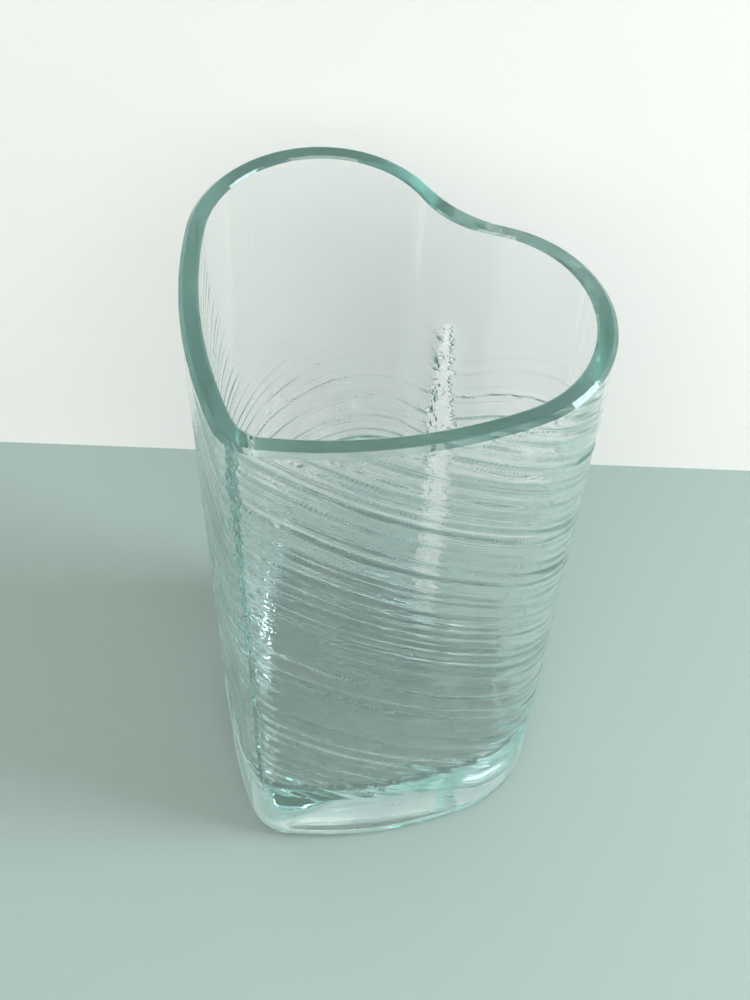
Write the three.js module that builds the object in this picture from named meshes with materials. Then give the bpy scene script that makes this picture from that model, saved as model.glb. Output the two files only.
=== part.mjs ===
// A heart-shaped glass vase: one piece of clear pressed glass with a thick solid base that is a little
// hollow underneath, straight walls that narrow a little towards the foot, and a rim cut flat with both
// of its edges ground off.
//
// Millimetres. +Z is up, and the vase stands on Z = 0. The heart is symmetric about the plane X = 0.
// Its notch is towards +Y and its tip towards -Y. The origin is under the middle of the vase.

import * as THREE from "three";

const HEIGHT = 150;
const FLOOR_THICKNESS = 22;
const FOOT_SCALE = 0.987; // size of the heart at the foot, as a share of its size at the rim

const FOOT_ROUNDING = 3; // radius of the outer bottom edge
const FLOOR_FILLET = 5; // radius between the inner wall and the floor
const FLOOR_SWELL = 3.5; // the floor inside is this much higher in the middle
const FOOT_HOLLOW = 3.6; // the underside goes up this much in the middle
const FOOT_RING = 0.94; // the vase stands on a narrow ring outside this share of the underside
const OUTER_BEVEL = 0.8; // ground edge round the outside of the rim
const INNER_BEVEL = 0.4; // ground edge round the inside of the rim

// Each half of a heart is four arcs that run smoothly into one another: half of the notch, the lobe,
// the long side and half of the tip. A heart is given by its lobe's centre, its tip's centre and the
// four radii, at the rim.
const OUTSIDE = { lobeX: 16.5, lobeY: 10.9, lobe: 23.7, tipY: -25.2, tip: 9.4, side: 90, notch: 25 };
const INSIDE = { lobeX: 15.9, lobeY: 10.7, lobe: 20.7, tipY: -24.5, tip: 6.3, side: 85, notch: 19 };

// How many chords each arc is drawn with, and each quarter-round edge.
const CHORDS = { notch: 5, lobe: 22, side: 12, tip: 10 };
const EDGE_STEPS = 5;

// The rings that draw the floor and the underside in to their middles, as shares of the way out.
const MIDDLE_SHARES = [0.94, 0.8, 0.65, 0.5, 0.35, 0.2];

// A heart drawn parallel to the given one, by inset millimetres towards its middle.
function shrink(heart, inset) {
  return {
    ...heart,
    lobe: heart.lobe - inset,
    tip: heart.tip - inset,
    side: heart.side - inset,
    notch: heart.notch + inset,
  };
}

// Where the centre of the long side's arc is, so that the arc touches the lobe and the tip from inside.
function sideCentre(heart) {
  const tip = new THREE.Vector2(0, heart.tipY);
  const lobe = new THREE.Vector2(heart.lobeX, heart.lobeY);
  const toTip = heart.side - heart.tip;
  const toLobe = heart.side - heart.lobe;
  const span = tip.distanceTo(lobe);
  const along = (toTip ** 2 - toLobe ** 2 + span ** 2) / (2 * span);
  const across = Math.sqrt(toTip ** 2 - along ** 2);
  const direction = lobe.clone().sub(tip).divideScalar(span);
  const left = new THREE.Vector2(-direction.y, direction.x);
  return tip.addScaledVector(direction, along).addScaledVector(left, across);
}

function arcPoints(centre, radius, startAngle, endAngle, chords) {
  const clockwise = endAngle < startAngle;
  const arc = new THREE.EllipseCurve(centre.x, centre.y, radius, radius, startAngle, endAngle, clockwise);
  return arc.getPoints(chords);
}

// The heart's outline, clockwise from the middle of the notch, without repeating the first point.
function outline(heart) {
  const lobe = new THREE.Vector2(heart.lobeX, heart.lobeY);
  const tip = new THREE.Vector2(0, heart.tipY);
  const side = sideCentre(heart);
  const notchRise = Math.sqrt((heart.lobe + heart.notch) ** 2 - heart.lobeX ** 2);
  const notch = new THREE.Vector2(0, heart.lobeY + notchRise);

  const notchEnd = Math.atan2(lobe.y - notch.y, lobe.x - notch.x);
  const lobeStart = notchEnd + Math.PI;
  const lobeEnd = Math.atan2(lobe.y - side.y, lobe.x - side.x);
  const sideEnd = Math.atan2(tip.y - side.y, tip.x - side.x);

  const half = [
    ...arcPoints(notch, heart.notch, -Math.PI / 2, notchEnd, CHORDS.notch),
    ...arcPoints(lobe, heart.lobe, lobeStart, lobeEnd, CHORDS.lobe).slice(1),
    ...arcPoints(side, heart.side, lobeEnd, sideEnd, CHORDS.side).slice(1),
    ...arcPoints(tip, heart.tip, sideEnd, -Math.PI / 2, CHORDS.tip).slice(1),
  ];
  const otherHalf = half.slice(1, -1).reverse();
  return [...half, ...otherHalf.map((point) => new THREE.Vector2(-point.x, point.y))];
}

// One level ring of points on the vase's skin. The heart narrows evenly from the rim to the foot.
function ring(heart, inset, z) {
  const scale = FOOT_SCALE + (1 - FOOT_SCALE) * (z / HEIGHT);
  return outline(shrink(heart, inset)).map((point) => [point.x * scale, point.y * scale, z]);
}

// How far the floor inside swells up, and how far the hollow under the foot goes up, at a share of the
// way out from the middle to their edge.
function floorRise(share) {
  return FLOOR_SWELL * (1 - share ** 2) ** 2;
}

function footRise(share) {
  return FOOT_HOLLOW * Math.max(0, 1 - (share / FOOT_RING) ** 2);
}

// A ring drawn in towards the middle to a share of its size, at a height of its own.
function drawnIn(points, share, z) {
  return points.map((point) => [point[0] * share, point[1] * share, z]);
}

// The skin as a stack of rings: from the middle of the underside out, up the outside, over the rim,
// down the inside and in along the floor.
function skinRings() {
  const rings = [];
  const footEdge = ring(OUTSIDE, FOOT_ROUNDING, 0);
  for (const share of MIDDLE_SHARES.toReversed()) {
    rings.push(drawnIn(footEdge, share, footRise(share)));
  }
  for (let step = 0; step <= EDGE_STEPS; step += 1) {
    const turn = (step / EDGE_STEPS) * (Math.PI / 2);
    const inset = FOOT_ROUNDING * (1 - Math.sin(turn));
    rings.push(ring(OUTSIDE, inset, FOOT_ROUNDING * (1 - Math.cos(turn))));
  }
  rings.push(ring(OUTSIDE, 0, HEIGHT - OUTER_BEVEL));
  rings.push(ring(OUTSIDE, OUTER_BEVEL, HEIGHT));
  rings.push(ring(INSIDE, -INNER_BEVEL, HEIGHT));
  rings.push(ring(INSIDE, 0, HEIGHT - INNER_BEVEL));
  for (let step = 0; step <= EDGE_STEPS; step += 1) {
    const turn = (step / EDGE_STEPS) * (Math.PI / 2);
    const inset = FLOOR_FILLET * (1 - Math.cos(turn));
    rings.push(ring(INSIDE, inset, FLOOR_THICKNESS + FLOOR_FILLET * (1 - Math.sin(turn))));
  }
  const floorEdge = rings.at(-1);
  for (const share of MIDDLE_SHARES) {
    rings.push(drawnIn(floorEdge, share, FLOOR_THICKNESS + floorRise(share)));
  }
  return rings;
}

// A closed body from the rings: a band of triangles between each two, and a fan over the first ring
// (the underside) and the last (the floor).
function closedSkin(rings) {
  const around = rings[0].length;
  const positions = rings.flat(2);
  const triangles = [];
  for (let level = 0; level + 1 < rings.length; level += 1) {
    for (let i = 0; i < around; i += 1) {
      const a = level * around + i;
      const b = level * around + ((i + 1) % around);
      triangles.push(a, a + around, b + around);
      triangles.push(a, b + around, b);
    }
  }

  const undersideMiddle = positions.length / 3;
  const floorMiddle = undersideMiddle + 1;
  const lastRing = (rings.length - 1) * around;
  positions.push(0, 0, FOOT_HOLLOW);
  positions.push(0, 0, FLOOR_THICKNESS + FLOOR_SWELL);
  for (let i = 0; i < around; i += 1) {
    const next = (i + 1) % around;
    triangles.push(undersideMiddle, i, next);
    triangles.push(floorMiddle, lastRing + next, lastRing + i);
  }

  const geometry = new THREE.BufferGeometry();
  geometry.setAttribute("position", new THREE.Float32BufferAttribute(positions, 3));
  geometry.setIndex(triangles);
  geometry.computeVertexNormals();
  return geometry;
}

function makeGlassVase() {
  const material = new THREE.MeshStandardMaterial({
    color: 0xcfe6dc,
    roughness: 0.04,
    metalness: 0,
    transparent: true,
    opacity: 0.35,
  });
  const vase = new THREE.Mesh(closedSkin(skinRings()), material);
  vase.name = "glass_vase";
  return vase;
}

const group = new THREE.Group();
group.add(makeGlassVase());

export default group;
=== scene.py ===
"""A heart-shaped vase of clear pressed glass, standing on a pale floor in soft studio light.

Metres. +Z is up and the vase stands on Z = 0. The notch of the heart is towards +Y and its tip
towards -Y. The vase is one solid piece of glass: a thick base, straight walls that narrow a little
towards the foot, a flat rim with both edges ground off, fine ripples that wind round the outside, and
a rough seam of the mould in the notch and down the tip.
"""

import math

import bpy
import numpy as np
from mathutils import Matrix, Vector


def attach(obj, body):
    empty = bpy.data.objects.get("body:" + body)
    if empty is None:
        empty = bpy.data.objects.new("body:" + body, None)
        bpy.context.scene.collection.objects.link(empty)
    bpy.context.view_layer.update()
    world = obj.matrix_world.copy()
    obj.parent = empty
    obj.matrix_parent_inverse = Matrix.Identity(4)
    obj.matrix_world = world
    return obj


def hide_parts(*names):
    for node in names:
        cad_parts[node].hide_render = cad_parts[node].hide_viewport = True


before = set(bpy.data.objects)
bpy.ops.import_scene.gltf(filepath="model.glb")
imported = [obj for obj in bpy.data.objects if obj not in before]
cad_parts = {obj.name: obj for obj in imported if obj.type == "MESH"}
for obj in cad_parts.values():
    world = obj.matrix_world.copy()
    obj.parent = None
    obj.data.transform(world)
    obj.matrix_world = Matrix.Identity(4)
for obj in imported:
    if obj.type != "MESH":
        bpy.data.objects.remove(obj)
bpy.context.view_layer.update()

MM = 0.001

# ---- the vase's sizes ----------------------------------------------------------------------------

HEIGHT = 150 * MM
BASE = 22 * MM  # thickness of the solid base
FOOT_SHARE = 0.987  # size of the heart at the foot, as a share of its size at the rim
FOOT_ROUNDING = 3 * MM
FLOOR_FILLET = 5 * MM
FLOOR_SWELL = 3.5 * MM  # the floor inside is this much higher in the middle
FOOT_HOLLOW = 3.6 * MM  # the underside goes up this much in the middle
FOOT_RING = 0.94  # the vase stands on a narrow ring outside this share of the underside
OUTER_GROUND_EDGE = 0.8 * MM
INNER_GROUND_EDGE = 0.4 * MM

# Each half of a heart is four arcs that run smoothly into one another: notch, lobe, long side, tip.
OUTSIDE = dict(lobe_x=16.5, lobe_y=10.9, lobe=23.7, tip_y=-25.2, tip=9.4, side=90.0, notch=25.0)
INSIDE = dict(lobe_x=15.9, lobe_y=10.7, lobe=20.7, tip_y=-24.5, tip=6.3, side=85.0, notch=19.0)

COLUMN = 0.83 * MM  # spacing of the mesh's columns along the outside
ROW = 0.5 * MM  # spacing of its rows where the wall is rippled
RIPPLE_FLOOR = 21 * MM  # below this the outside is smooth
POINTS_ON_ARC = 40  # how finely an arc is measured


def only(thing):
    """Selects one object and nothing else."""
    bpy.ops.object.select_all(action="DESELECT")
    thing.select_set(True)
    bpy.context.view_layer.objects.active = thing


def half_heart_arcs(heart):
    """The four arcs of the heart's right half, from the notch to the tip: centre, radius, start, turn."""
    lobe = Vector((heart["lobe_x"], heart["lobe_y"]))
    tip = Vector((0.0, heart["tip_y"]))
    to_tip = heart["side"] - heart["tip"]
    to_lobe = heart["side"] - heart["lobe"]
    span = (lobe - tip).length
    along = (to_tip**2 - to_lobe**2 + span**2) / (2 * span)
    across = math.sqrt(to_tip**2 - along**2)
    direction = (lobe - tip) / span
    side = tip + direction * along + Vector((-direction.y, direction.x)) * across
    rise = math.sqrt((heart["lobe"] + heart["notch"]) ** 2 - heart["lobe_x"] ** 2)
    notch = Vector((0.0, heart["lobe_y"] + rise))

    def towards(start, end):
        return math.atan2(end.y - start.y, end.x - start.x)

    notch_end = towards(notch, lobe)
    lobe_end = towards(side, lobe)
    side_end = towards(side, tip)
    return [
        (notch, heart["notch"], -math.pi / 2, notch_end + math.pi / 2),
        (lobe, heart["lobe"], notch_end + math.pi, lobe_end - notch_end - math.pi),
        (side, heart["side"], lobe_end, side_end - lobe_end),
        (tip, heart["tip"], side_end, -math.pi / 2 - side_end),
    ]


FEWEST_STEPS = 4
ARC_STEPS = [
    max(FEWEST_STEPS, round(radius * abs(turn) * MM / COLUMN))
    for _, radius, _, turn in half_heart_arcs(OUTSIDE)
]


def draw_heart(name, heart, height, share):
    """A closed heart of edges at one height: a single point is spun along the four arcs, then mirrored."""
    arcs = half_heart_arcs(heart)
    centre, radius, _, _ = arcs[0]
    first = Vector((centre.x, centre.y - radius)) * MM * share
    bpy.ops.object.select_all(action="DESELECT")
    bpy.ops.mesh.primitive_plane_add(size=MM, location=(first.x, first.y, height))
    outline = bpy.context.active_object
    outline.name = name
    bpy.ops.object.transform_apply(location=True)
    bpy.ops.object.mode_set(mode="EDIT")
    bpy.ops.mesh.select_mode(type="VERT")
    bpy.ops.mesh.select_all(action="SELECT")
    bpy.ops.mesh.merge(type="CENTER")
    for (centre, _, _, turn), steps in zip(arcs, ARC_STEPS):
        middle = centre * MM * share
        axis = (0, 0, -1) if turn > 0 else (0, 0, 1)
        bpy.ops.mesh.spin(steps=steps, angle=abs(turn), center=(middle.x, middle.y, height), axis=axis)
    bpy.ops.object.mode_set(mode="OBJECT")
    mirror = outline.modifiers.new("other_half", "MIRROR")
    mirror.merge_threshold = 0.05 * MM
    bpy.ops.object.modifier_apply(modifier=mirror.name)
    return outline


def select_where(thing, kind, keep):
    """In edit mode, selects the edges or faces whose place answers keep(place) with true."""
    bpy.ops.mesh.select_mode(type=kind)
    bpy.ops.mesh.select_all(action="DESELECT")
    bpy.ops.object.mode_set(mode="OBJECT")
    mesh = thing.data
    points = np.zeros(len(mesh.vertices) * 3)
    mesh.vertices.foreach_get("co", points)
    points = points.reshape(-1, 3)
    if kind == "EDGE":
        ends = np.zeros(len(mesh.edges) * 2, int)
        mesh.edges.foreach_get("vertices", ends)
        ends = ends.reshape(-1, 2)
        chosen = keep(points[ends[:, 0]], points[ends[:, 1]])
        mesh.edges.foreach_set("select", chosen)
        touched = np.zeros(len(points), bool)
        touched[ends[chosen].ravel()] = True
        mesh.vertices.foreach_set("select", touched)
    else:
        middles = np.array([face.center for face in mesh.polygons])
        mesh.polygons.foreach_set("select", keep(middles))
    bpy.ops.object.mode_set(mode="EDIT")


def level_edges(height, slack=0.01 * MM):
    """A test for select_where: edges that lie at one height."""
    return lambda a, b: (abs(a[:, 2] - height) < slack) & (abs(b[:, 2] - height) < slack)


def heart_distance(heart, angle):
    """How far the heart is from the middle in each direction."""
    places = []
    for centre, radius, start, turn in half_heart_arcs(heart):
        for turned in np.linspace(start, start + turn, POINTS_ON_ARC):
            places.append((centre.x + radius * math.cos(turned), centre.y + radius * math.sin(turned)))
    places = np.array(places) * MM
    places = np.vstack([places, places[::-1] * [-1, 1]])
    directions = np.arctan2(places[:, 1], places[:, 0])
    order = np.argsort(directions)
    distances = np.hypot(places[order, 0], places[order, 1])
    return np.interp(angle, directions[order], distances, period=2 * math.pi)


def rim_halfway_distance(angle):
    """How far the middle of the rim is from the vase's middle in each direction."""
    return (heart_distance(OUTSIDE, angle) + heart_distance(INSIDE, angle)) / 2


def loop_side(points):
    """True where a point at the rim lies on the outside heart."""
    halfway = rim_halfway_distance(np.arctan2(points[:, 1], points[:, 0]))
    return np.hypot(points[:, 0], points[:, 1]) > halfway


def ground_loop(outer):
    """A test for select_where: the edges of the rim's outer or inner loop."""

    def keep(a, b):
        level = level_edges(HEIGHT)(a, b)
        return level & (loop_side(a) == outer) & (loop_side(b) == outer)

    return keep


def upright_edges(low, high, outer):
    """A test for select_where: edges that run from one height to another on the outer or the inner wall."""

    def keep(a, b):
        bottom, top = np.minimum(a[:, 2], b[:, 2]), np.maximum(a[:, 2], b[:, 2])
        level = (abs(bottom - low) < 0.02 * MM) & (abs(top - high) < 0.02 * MM)
        return level & (loop_side(a / share_at(a[:, 2:3])) == outer)

    return keep


def level_face(height):
    """A test for select_where: the flat face at one height."""
    return lambda middles: abs(middles[:, 2] - height) < 0.01 * MM


def extrude_rings(rings):
    """Extrudes the selected loop ring by ring. Each ring gives its rise and the share it grows by."""
    for rise, growth in rings:
        bpy.ops.mesh.extrude_region_move(TRANSFORM_OT_translate={"value": (0, 0, rise)})
        bpy.ops.transform.resize(value=(growth, growth, 1), center_override=(0, 0, 0))


def share_at(height):
    """The heart's size at a height, as a share of its size at the rim."""
    return FOOT_SHARE + (1 - FOOT_SHARE) * height / HEIGHT


def floor_rise(share):
    """How far the floor inside swells up at a share of the way out to its edge."""
    return FLOOR_SWELL * (1 - share**2)


def foot_rise(share):
    """How far the hollow under the foot goes up at a share of the way out to the foot's edge."""
    return FOOT_HOLLOW * max(0.0, 1 - (share / FOOT_RING) ** 2)


# ---- the blank: the vase before its ripples -------------------------------------------------------

vase = draw_heart("glass_vase_visual", OUTSIDE, 0.0, share_at(0.0))
bpy.ops.object.mode_set(mode="EDIT")
bpy.ops.mesh.select_mode(type="EDGE")
bpy.ops.mesh.select_all(action="SELECT")
extrude_rings([(HEIGHT, 1 / FOOT_SHARE)])
bpy.ops.object.mode_set(mode="OBJECT")

hollow = draw_heart("hollow", INSIDE, BASE, share_at(BASE))
bpy.ops.object.mode_set(mode="EDIT")
bpy.ops.mesh.select_mode(type="EDGE")
bpy.ops.mesh.select_all(action="SELECT")
extrude_rings([(HEIGHT - BASE, 1 / share_at(BASE))])
bpy.ops.object.mode_set(mode="OBJECT")

bpy.ops.object.select_all(action="DESELECT")
hollow.select_set(True)
vase.select_set(True)
bpy.context.view_layer.objects.active = vase
bpy.ops.object.join()

bpy.ops.object.mode_set(mode="EDIT")
select_where(vase, "EDGE", level_edges(HEIGHT))
bpy.ops.mesh.bridge_edge_loops()
for cap in (0.0, BASE):
    select_where(vase, "EDGE", level_edges(cap))
    bpy.ops.mesh.edge_face_add()
bpy.ops.mesh.select_all(action="SELECT")
bpy.ops.mesh.normals_make_consistent(inside=False)

ROUND_EDGE_STEPS = 6
for edge_at, width, steps in (
    (level_edges(0.0), FOOT_ROUNDING, ROUND_EDGE_STEPS),
    (level_edges(BASE), FLOOR_FILLET, ROUND_EDGE_STEPS),
    (ground_loop(True), OUTER_GROUND_EDGE, 1),
    (ground_loop(False), INNER_GROUND_EDGE, 1),
):
    select_where(vase, "EDGE", edge_at)
    bpy.ops.mesh.bevel(offset=width, segments=steps, affect="EDGES")

# the walls get their rows: wide ones on the smooth base band, fine ones where the ripples will be
bpy.ops.mesh.select_mode(type="VERT")
bpy.ops.mesh.select_all(action="SELECT")
bpy.ops.mesh.bisect(plane_co=(0, 0, RIPPLE_FLOOR), plane_no=(0, 0, 1))
outer_top = HEIGHT - OUTER_GROUND_EDGE
inner_top = HEIGHT - INNER_GROUND_EDGE
for low, high, outer, rows in (
    (FOOT_ROUNDING, RIPPLE_FLOOR, True, 12),
    (RIPPLE_FLOOR, outer_top, True, round((outer_top - RIPPLE_FLOOR) / ROW)),
    (BASE + FLOOR_FILLET, inner_top, False, 30),
):
    select_where(vase, "EDGE", upright_edges(low, high, outer))
    bpy.ops.mesh.subdivide_edgering(number_cuts=rows - 1, interpolation="LINEAR")

# the floor inside and the foot below are drawn in, ring by ring, to a point in the middle
MIDDLE_SHARES = (0.94, 0.87, 0.79, 0.7, 0.6, 0.5, 0.4, 0.3, 0.2, 0.1)
for height, rise, facing in ((BASE, floor_rise, 1), (0.0, foot_rise, -1)):
    select_where(vase, "FACE", level_face(height))
    previous = 1.0
    for share in MIDDLE_SHARES:
        extrude_rings([(rise(share) - rise(previous), share / previous)])
        previous = share
    bpy.ops.mesh.poke(offset=facing * (rise(0.0) - rise(previous)))
bpy.ops.object.mode_set(mode="OBJECT")


# ---- the ripples ----------------------------------------------------------------------------------

# Each ripple is a crease that winds down round the vase, anticlockwise seen from above. Ways and heights
# here are in millimetres. A ripple's drop is its height at the tip, and it comes round again CLIMB lower.


POINTS_ON_WAY = 60  # how finely the way along each arc is measured


def travel_table():
    """Direction from the middle and way along the outside from the tip, anticlockwise, in millimetres."""
    right = []
    for centre, radius, start, turn in half_heart_arcs(OUTSIDE):
        for turned in np.linspace(start, start + turn, POINTS_ON_WAY):
            right.append((centre.x + radius * math.cos(turned), centre.y + radius * math.sin(turned)))
    right = np.array(right)[::-1]
    places = np.vstack([right, right[::-1] * [-1, 1]])
    steps = np.hypot(*np.diff(places, axis=0).T)
    directions = np.unwrap(np.arctan2(places[:, 1], places[:, 0]))
    return directions, np.concatenate([[0], np.cumsum(steps)])


DIRECTIONS, WAYS = travel_table()
ROUND = WAYS[-1]


def way_round(points):
    """How far round the outside each point is, from the tip."""
    direction = np.arctan2(points[:, 1], points[:, 0])
    direction = np.where(direction < -math.pi / 2, direction + 2 * math.pi, direction)
    return np.interp(direction, DIRECTIONS, WAYS)


STEEPNESS = 0.6  # how much a ripple comes down for each millimetre round, on average
TIP_STEEPNESS = 0.1  # how much more it comes down at the tip
CLIMB = STEEPNESS * ROUND
DROP_SPAN = 300.0  # more than the greatest drop, from the rim to the foot and once round

# how high the ripples reach on the way round: they leave the upper back smooth
TOP_WAYS = (0, 60, 85, 115, 125, 172, 190, ROUND)
TOP_HEIGHTS = (170, 165, 133, 120, 100, 99, 160, 170)

NOTCH_SEAM_TOP = 122.0  # the rough seam in the notch starts this high
NOTCH_DENT, NOTCH_DENT_WIDTH = 0.5, 2.2
TIP_DENT, TIP_DENT_WIDTH = 0.25, 0.8


def climb(way):
    """How far a ripple has come down after that way round: it runs steeper near the tip."""
    swing = ROUND / (2 * math.pi) * np.sin(2 * math.pi * way / ROUND)
    return STEEPNESS * way + TIP_STEEPNESS * swing


PATCH_ROWS = 64


def patches(u, v, seed, around):
    """Smooth random numbers from -1 to 1 in patches a unit long. They repeat along u after that many."""
    rows = np.random.default_rng(seed).uniform(-1, 1, (around, PATCH_ROWS))
    fu, fv = np.floor(u).astype(int), np.floor(v).astype(int)
    tu, tv = u - fu, v - fv
    tu, tv = tu * tu * (3 - 2 * tu), tv * tv * (3 - 2 * tv)

    def at(i, j):
        return rows[i % around, j % PATCH_ROWS]

    low = at(fu, fv) * (1 - tu) + at(fu + 1, fv) * tu
    high = at(fu, fv + 1) * (1 - tu) + at(fu + 1, fv + 1) * tu
    return low * (1 - tv) + high * tv


def creases(spacing, spread, depth, width, seed):
    """Where the creases are, how deep and how wide, all round one climb."""
    chance = np.random.default_rng(seed)
    count = round(CLIMB / spacing)
    places = (np.arange(count) + chance.uniform(-spread, spread, count)) * CLIMB / count
    depths = depth * chance.uniform(0.45, 1.0, count)
    widths = width * chance.uniform(0.7, 1.4, count)
    return list(zip(places, depths, widths))


MAIN_CREASES = creases(spacing=4.6, spread=0.36, depth=0.33, width=0.42, seed=11)
FINE_CREASES = creases(spacing=1.7, spread=0.42, depth=0.10, width=0.32, seed=23)


def creased(drop, lines):
    """The depth of all the creases at that drop, each a narrow valley with a low ridge below it."""
    depth = np.zeros(len(drop))
    for place, deep, wide in lines:
        apart = (drop - place + CLIMB / 2) % CLIMB - CLIMB / 2
        depth += deep * np.exp(-((apart / wide) ** 2) / 2)
        depth -= 0.45 * deep * np.exp(-(((apart + 2.2 * wide) / (1.6 * wide)) ** 2) / 2)
    return depth


def rippled_share(way, height):
    """1 where the outside is rippled, going down to 0 on the smooth upper back and the smooth base."""
    top = np.interp(way, TOP_WAYS, TOP_HEIGHTS)
    below_rim = np.clip((top - height) / 14, 0, 1) * np.clip((150.5 - height) / 5, 0, 1)
    return below_rim * np.clip((height - 21) / 2.5, 0, 1)


def rippled(way, height):
    """How far the ripples move the outside inwards, in millimetres."""
    drop = height + climb(way)
    slow_wander = 0.5 * patches(way / ROUND * 9, height / 26, 3, 9)
    quick_wander = 0.18 * patches(way / ROUND * 40, height / 9, 4, 40)
    drop = drop + slow_wander + quick_wander
    share = rippled_share(way, height)
    near_base = np.interp(height, (22, 25, 31, 42), (1.0, 1.7, 1.5, 1.0))
    strength = share * near_base * (0.75 + 0.25 * patches(way / ROUND * 14, drop / 4.3, 5, 14))
    fine = share * np.interp(height, (25, 70, 110, 150), (1.0, 0.85, 0.6, 0.5))
    fine = fine * (0.7 + 0.3 * patches(way / ROUND * 24, drop / 2.1, 6, 24))
    return strength * creased(drop, MAIN_CREASES) + fine * creased(drop, FINE_CREASES)


def seamed(way, height):
    """How far the mould's seams at the tip and in the notch move the outside inwards, in millimetres."""
    drop = height + climb(way)
    ragged = patches(way * 0 + 0.5, drop / 1.9, 8, 1)
    from_notch = way - ROUND / 2
    from_tip = (way + ROUND / 2) % ROUND - ROUND / 2
    above_foot = np.clip((height - 8) / 12, 0, 1)
    notch_on = np.clip((NOTCH_SEAM_TOP - height) / 4, 0, 1) * above_foot
    notch = NOTCH_DENT * np.exp(-(((from_notch + 0.5 * ragged) / NOTCH_DENT_WIDTH) ** 2))
    notch = notch * (1 + 0.5 * patches(way / 1.7, drop / 1.2, 9, 138))
    tip = TIP_DENT * np.exp(-(((from_tip + 0.35 * ragged) / TIP_DENT_WIDTH) ** 2))
    return notch * notch_on + tip * above_foot


SHARP_EDGE = math.radians(32)

mesh = vase.data
points = np.zeros(len(mesh.vertices) * 3)
mesh.vertices.foreach_get("co", points)
points = points.reshape(-1, 3)
normals = np.zeros(len(mesh.vertices) * 3)
mesh.vertices.foreach_get("normal", normals)
normals = normals.reshape(-1, 3)
outside = loop_side(points / share_at(points[:, 2:3])) & (points[:, 2] > FOOT_ROUNDING * 1.5)
outside &= points[:, 2] < HEIGHT - 0.5 * OUTER_GROUND_EDGE
flat = normals[outside] * [1, 1, 0]
flat /= np.linalg.norm(flat, axis=1)[:, None]
way = way_round(points[outside])
height_mm = points[outside, 2] / MM
moved = rippled(way, height_mm) + seamed(way, height_mm)
points[outside] -= flat * moved[:, None] * MM
mesh.vertices.foreach_set("co", points.ravel())
mesh.update()

bpy.ops.object.mode_set(mode="EDIT")
bpy.ops.mesh.select_all(action="SELECT")
bpy.ops.mesh.quads_convert_to_tris(quad_method="FIXED", ngon_method="BEAUTY")
bpy.ops.object.mode_set(mode="OBJECT")
only(vase)
bpy.ops.object.shade_smooth_by_angle(angle=SHARP_EDGE)

# a flat map of the outside for the fine marks: across is the way round, up is the drop of the ripples
winding = mesh.uv_layers.new(name="winding")
corners = np.zeros(len(mesh.loops), int)
mesh.loops.foreach_get("vertex_index", corners)
corners = corners.reshape(-1, 3)
every_way = np.zeros(len(points))
every_way[outside] = way
corner_way = every_way[corners]
over_the_tip = np.ptp(corner_way, axis=1) > ROUND / 2
corner_way[over_the_tip] += np.where(corner_way[over_the_tip] < ROUND / 2, ROUND, 0)
corner_drop = points[corners, 2] / MM + climb(corner_way)
on_outside = outside[corners].all(axis=1)
places = np.stack([corner_way / ROUND, corner_drop / DROP_SPAN], axis=2)
places[~on_outside] = (0.25, 0)  # one spot away from both seams, so no mark falls elsewhere
winding.data.foreach_set("uv", places.ravel())

# and how rippled each point is, so that the fine marks stop where the ripples do
rippled_here = np.zeros(len(points))
rippled_here[outside] = rippled_share(way, height_mm)
mesh.attributes.new("rippled_part", "FLOAT", "POINT").data.foreach_set("value", rippled_here)


# ---- the glass ------------------------------------------------------------------------------------

glass = bpy.data.materials.new("clear_green_glass")
glass.use_nodes = True
nodes, links = glass.node_tree.nodes, glass.node_tree.links
body = nodes["Principled BSDF"]
body.inputs["Base Color"].default_value = (1.0, 1.0, 1.0, 1.0)
body.inputs["IOR"].default_value = 1.52
body.inputs["Transmission Weight"].default_value = 1.0
depth = nodes.new("ShaderNodeVolumeAbsorption")
depth.inputs["Color"].default_value = (0.10, 0.60, 0.50, 1.0)
depth.inputs["Density"].default_value = 7.0
links.new(depth.outputs["Volume"], nodes["Material Output"].inputs["Volume"])

place = nodes.new("ShaderNodeTexCoord")
outside_map = nodes.new("ShaderNodeUVMap")
outside_map.uv_map = "winding"


def calculated(operation, *values):
    """A maths node's result. Each value is a number or another node's output."""
    step = nodes.new("ShaderNodeMath")
    step.operation = operation
    for socket, value in zip(step.inputs, values):
        if isinstance(value, (int, float)):
            socket.default_value = value
        else:
            links.new(value, socket)
    return step.outputs["Value"]


def ramped(value, start, end, low=0.0, high=1.0):
    """Follows a value smoothly from low to high while it goes from start to end."""
    ramp = nodes.new("ShaderNodeMapRange")
    ramp.interpolation_type = "SMOOTHSTEP"
    links.new(value, ramp.inputs["Value"])
    for socket, number in zip(("From Min", "From Max", "To Min", "To Max"), (start, end, low, high)):
        ramp.inputs[socket].default_value = number
    return ramp.outputs["Result"]


def noise(vector, size, detail=2.0):
    """Smooth noise from 0 to 1. Size is how many patches there are along each direction."""
    stretch = nodes.new("ShaderNodeMapping")
    stretch.inputs["Scale"].default_value = size
    links.new(vector, stretch.inputs["Vector"])
    pattern = nodes.new("ShaderNodeTexNoise")
    pattern.inputs["Scale"].default_value = 1.0
    pattern.inputs["Detail"].default_value = detail
    links.new(stretch.outputs["Vector"], pattern.inputs["Vector"])
    return pattern.outputs["Fac"]


def raised(height, millimetres, normal=None):
    """A bump of that many millimetres on top of another bump."""
    bump = nodes.new("ShaderNodeBump")
    bump.inputs["Distance"].default_value = millimetres * MM
    links.new(height, bump.inputs["Height"])
    if normal:
        links.new(normal, bump.inputs["Normal"])
    return bump.outputs["Normal"]


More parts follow.
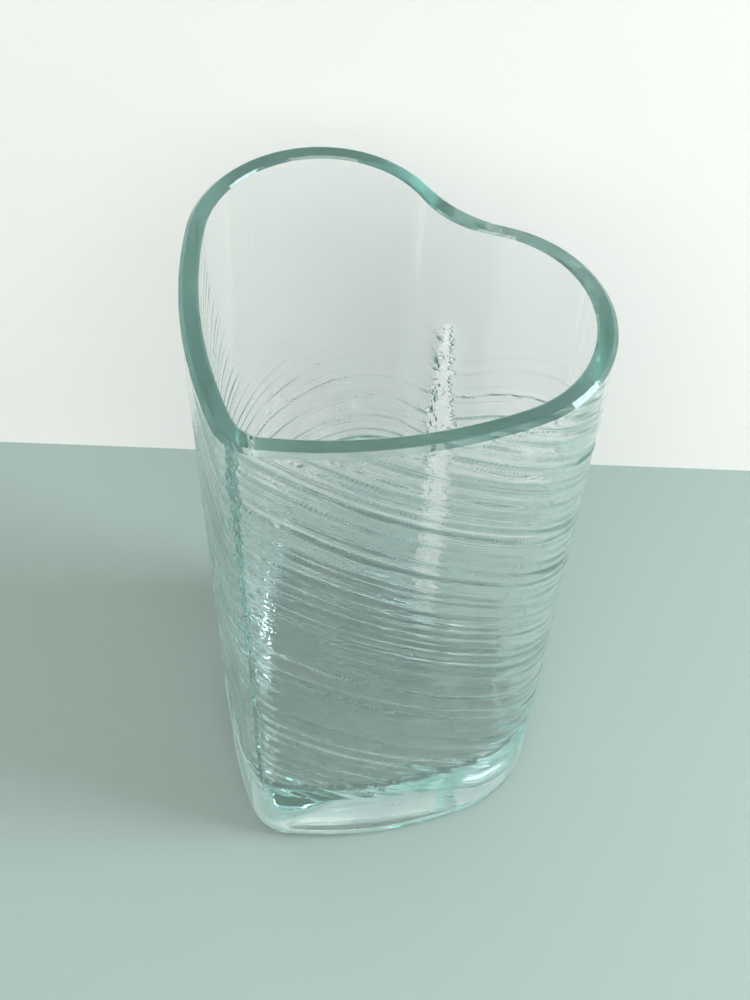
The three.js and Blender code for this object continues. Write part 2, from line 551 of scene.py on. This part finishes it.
split_map = nodes.new("ShaderNodeSeparateXYZ")
links.new(outside_map.outputs["UV"], split_map.inputs["Vector"])
split_place = nodes.new("ShaderNodeSeparateXYZ")
links.new(place.outputs["Object"], split_place.inputs["Vector"])
height_up = split_place.outputs["Z"]
round_share = split_map.outputs["X"]

LINE_SPACING = 0.9  # of the fine lines, in millimetres
TOOTH = 1.3 * MM  # how far apart the little teeth in the seams are
TOOTH_DEPTH = 0.9  # in millimetres

# fine lines that run with the ripples
fine_lines = ramped(noise(outside_map.outputs["UV"], (7, DROP_SPAN / LINE_SPACING, 1)), 0.55, 0.70)
rippled_part = nodes.new("ShaderNodeAttribute")
rippled_part.attribute_name = "rippled_part"
surface = raised(calculated("MULTIPLY", fine_lines, rippled_part.outputs["Fac"]), 0.030)

# the rough seam in the notch: a ragged strip that is wider lower down
from_seam = calculated("SUBTRACT", round_share, 0.5)
off_seam = calculated("MULTIPLY", calculated("ABSOLUTE", from_seam), ROUND)
rag = noise(outside_map.outputs["UV"], (40, DROP_SPAN / 1.2, 1))
ragged_edge = calculated("MULTIPLY", calculated("SUBTRACT", rag, 0.5), 5.0)
half_width = ramped(height_up, 85 * MM, NOTCH_SEAM_TOP * MM, 2.9, 0.8)
inside_strip = calculated("SUBTRACT", half_width, calculated("ADD", off_seam, ragged_edge))
below_top = ramped(height_up, (NOTCH_SEAM_TOP - 2) * MM, NOTCH_SEAM_TOP * MM, 1.0, 0.0)
rough_strip = calculated("MULTIPLY", ramped(inside_strip, -0.1, 0.3), below_top)
wander = calculated("MULTIPLY", noise(place.outputs["Object"], (420, 420, 260)), 3.0)
counted_down = calculated("MULTIPLY", height_up, -1 / TOOTH)
teeth = calculated("FRACT", calculated("ADD", counted_down, wander))
surface = raised(calculated("MULTIPLY", teeth, rough_strip), TOOTH_DEPTH, surface)

# the narrow seam down the tip
from_tip = calculated("SUBTRACT", calculated("FRACT", calculated("ADD", round_share, 0.5)), 0.5)
off_tip = calculated("MULTIPLY", calculated("ABSOLUTE", from_tip), ROUND)
tip_width = ramped(height_up, 100 * MM, 145 * MM, 1.5, 2.6)
tip_edge = calculated("MULTIPLY", noise(place.outputs["Object"], (300, 300, 420)), tip_width)
above_floor = ramped(height_up, BASE, BASE + FLOOR_FILLET)
inside_tip_strip = calculated("SUBTRACT", tip_edge, off_tip)
tip_strip = calculated("MULTIPLY", ramped(inside_tip_strip, 0.0, 0.25), above_floor)
surface = raised(calculated("MULTIPLY", teeth, tip_strip), TOOTH_DEPTH, surface)

# seeds: small bubbles that reach the surface
seed_cells = nodes.new("ShaderNodeTexVoronoi")
seed_cells.inputs["Scale"].default_value = 300.0
links.new(place.outputs["Object"], seed_cells.inputs["Vector"])
low_down = ramped(height_up, 80 * MM, 100 * MM, 1.0, 0.0)
near_seed = ramped(seed_cells.outputs["Distance"], 0.04, 0.10, 1.0, 0.0)
seeds = calculated("MULTIPLY", near_seed, low_down)
surface = raised(seeds, 0.14, surface)

# the rim is ground: fine scratches across it
on_rim = ramped(height_up, HEIGHT - 0.5 * MM, HEIGHT - 0.2 * MM)
grinding = noise(place.outputs["Object"], (260, 2600, 1), detail=3.0)
scratches = calculated("MULTIPLY", ramped(grinding, 0.5, 0.7), on_rim)
surface = raised(scratches, 0.006, surface)
links.new(surface, body.inputs["Normal"])

seam_roughness = calculated("MULTIPLY", rough_strip, 0.12)
rim_roughness = calculated("MULTIPLY", scratches, 0.10)
links.new(calculated("ADD", seam_roughness, rim_roughness), body.inputs["Roughness"])
vase.data.materials.clear()
vase.data.materials.append(glass)

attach(vase, "root")
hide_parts("glass_vase")


# ---- the studio -----------------------------------------------------------------------------------

VIEW_TURN = math.radians(34.12)  # the camera looks this far to the left of +Y
VIEW_DIP = math.radians(54.285)
VIEW_ROLL = math.radians(2.21)
VIEW_PLACE = (0.0981, -0.1380, 0.33239)
WALL_BEHIND = 85 * MM  # how far the wall is behind the middle of the vase
ahead_level = Vector((-math.sin(VIEW_TURN), math.cos(VIEW_TURN), 0))
right_level = Vector((math.cos(VIEW_TURN), math.sin(VIEW_TURN), 0))


def stage_material(name, colour):
    """A plain matt paint."""
    paint = bpy.data.materials.new(name)
    paint.use_nodes = True
    shader = paint.node_tree.nodes["Principled BSDF"]
    shader.inputs["Base Color"].default_value = (*colour, 1.0)
    shader.inputs["Roughness"].default_value = 0.9
    shader.inputs["Specular IOR Level"].default_value = 0.1
    return paint


bpy.ops.object.select_all(action="DESELECT")
bpy.ops.mesh.primitive_plane_add(size=6.0, location=(0, 0, -0.0002))
floor = bpy.context.active_object
floor.name = "floor"
floor.data.materials.append(stage_material("pale_floor", (0.27, 0.33, 0.29)))

bpy.ops.object.select_all(action="DESELECT")
bpy.ops.mesh.primitive_plane_add(size=1.0, location=ahead_level * WALL_BEHIND + Vector((0, 0, 0.5)))
backdrop = bpy.context.active_object
backdrop.name = "backdrop"
backdrop.scale = (2.4, 1.0, 1.0)
backdrop.rotation_euler = (math.pi / 2, 0, VIEW_TURN)
paper = stage_material("white_paper", (0.93, 0.89, 0.84))
tree = paper.node_tree
behind = tree.nodes.new("ShaderNodeNewGeometry")
clear = tree.nodes.new("ShaderNodeBsdfTransparent")
either = tree.nodes.new("ShaderNodeMixShader")
tree.links.new(behind.outputs["Backfacing"], either.inputs["Fac"])
tree.links.new(tree.nodes["Principled BSDF"].outputs["BSDF"], either.inputs[1])
tree.links.new(clear.outputs["BSDF"], either.inputs[2])
tree.links.new(either.outputs["Shader"], tree.nodes["Material Output"].inputs["Surface"])
backdrop.data.materials.append(paper)


def soft_box(name, place, aim, size, power, colour):
    """A flat light of that size, turned towards aim."""
    bpy.ops.object.light_add(type="AREA", location=place)
    box = bpy.context.active_object
    box.name = name
    box.data.shape = "RECTANGLE"
    box.data.size, box.data.size_y = size
    box.data.energy = power
    box.data.color = colour
    box.rotation_euler = (Vector(aim) - Vector(place)).to_track_quat("-Z", "Y").to_euler()
    return box


middle = Vector((0, 0, 0.07))
soft_box(
    "window_light",
    place=right_level * 0.78 + ahead_level * 0.02 + Vector((0, 0, 0.55)),
    aim=middle,
    size=(0.5, 0.65),
    power=16,
    colour=(0.80, 0.91, 1.0),
)
soft_box(
    "front_light",
    place=Vector((0, 0, 0.85)) - ahead_level * 0.75,
    aim=middle + ahead_level * 0.08,
    size=(0.9, 0.5),
    power=6,
    colour=(1.0, 0.96, 0.90),
)

world = bpy.data.worlds.new("soft_room")
bpy.context.scene.world = world
world.use_nodes = True
sky = world.node_tree
room = sky.nodes["Background"]
direction = sky.nodes.new("ShaderNodeTexCoord")
split = sky.nodes.new("ShaderNodeSeparateXYZ")
shade = sky.nodes.new("ShaderNodeValToRGB")
sky.links.new(direction.outputs["Generated"], split.inputs["Vector"])
sky.links.new(split.outputs["Z"], shade.inputs["Fac"])
sky.links.new(shade.outputs["Color"], room.inputs["Color"])
shade.color_ramp.elements[0].position = 0.0
shade.color_ramp.elements[0].color = (0.22, 0.22, 0.23, 1)
shade.color_ramp.elements[1].position = 0.8
shade.color_ramp.elements[1].color = (1.3, 1.4, 1.55, 1)
room.inputs["Strength"].default_value = 0.78

view = bpy.data.cameras.new("view")
camera = bpy.data.objects.new("view", view)
bpy.context.scene.collection.objects.link(camera)
view.sensor_width = 36
view.lens = 53.14
view.clip_start, view.clip_end = 0.01, 20
forward = ahead_level * math.cos(VIEW_DIP) - Vector((0, 0, math.sin(VIEW_DIP)))
above = right_level.cross(forward)
across = right_level * math.cos(VIEW_ROLL) + above * math.sin(VIEW_ROLL)
upward = above * math.cos(VIEW_ROLL) - right_level * math.sin(VIEW_ROLL)
turned = Matrix((across, upward, -forward)).transposed().to_4x4()
camera.matrix_world = Matrix.Translation(VIEW_PLACE) @ turned
bpy.context.scene.camera = camera

scene = bpy.context.scene
scene.view_settings.view_transform = "Standard"
scene.cycles.max_bounces = 48
scene.cycles.glossy_bounces = 48
scene.cycles.transmission_bounces = 48
scene.cycles.diffuse_bounces = 4
